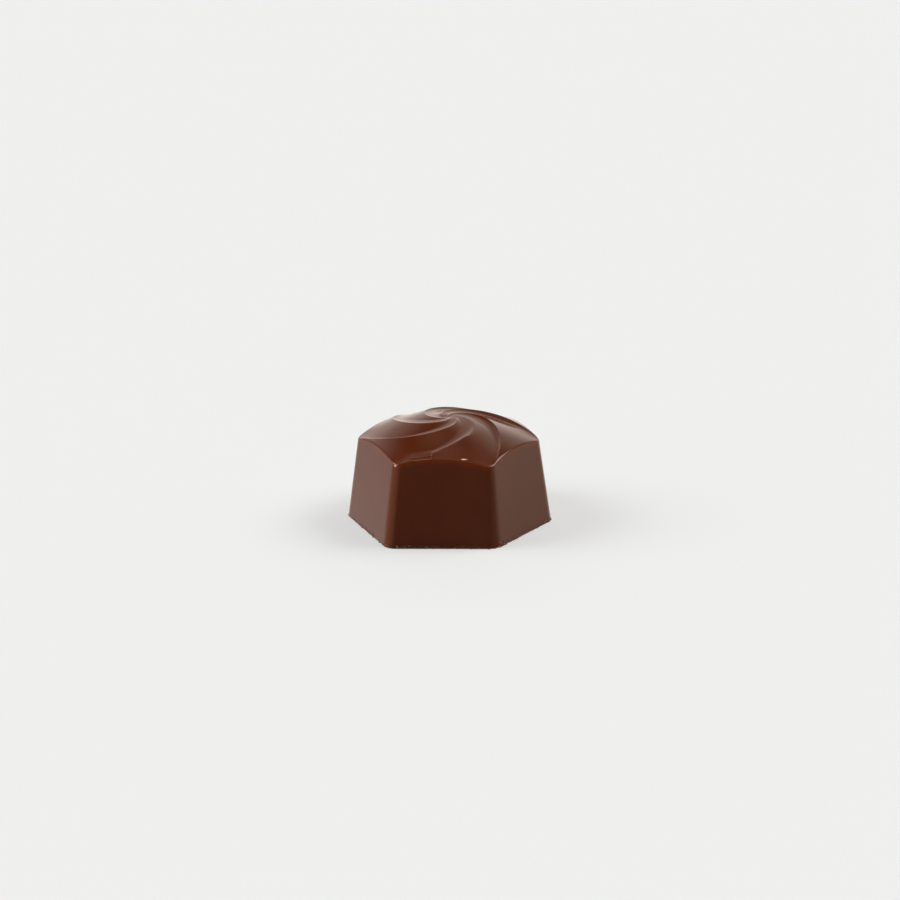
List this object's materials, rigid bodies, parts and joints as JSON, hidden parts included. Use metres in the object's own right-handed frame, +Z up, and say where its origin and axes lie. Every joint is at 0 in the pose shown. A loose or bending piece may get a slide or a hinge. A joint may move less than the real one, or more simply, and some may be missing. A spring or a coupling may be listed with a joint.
{
  "type": "chocolate praline",
  "caption": "Small moulded milk chocolate praline: a tapered hexagonal block with a domed top of swirling blades that run out to its corners. A sweet to eat.",
  "frame": {"origin": "middle of the flat foot, on the surface that the praline stands on", "axes": "+Z up through the dome, +X towards one of the six corners, +Y across two of the flat sides"},
  "size_m": [0.0294, 0.026, 0.0152],
  "materials": {
    "chocolate": "glossy moulded milk chocolate, scraped and a little rough round the edge of the foot"
  },
  "bodies": {
    "root": {"praline": "chocolate"}
  },
  "joints": []
}
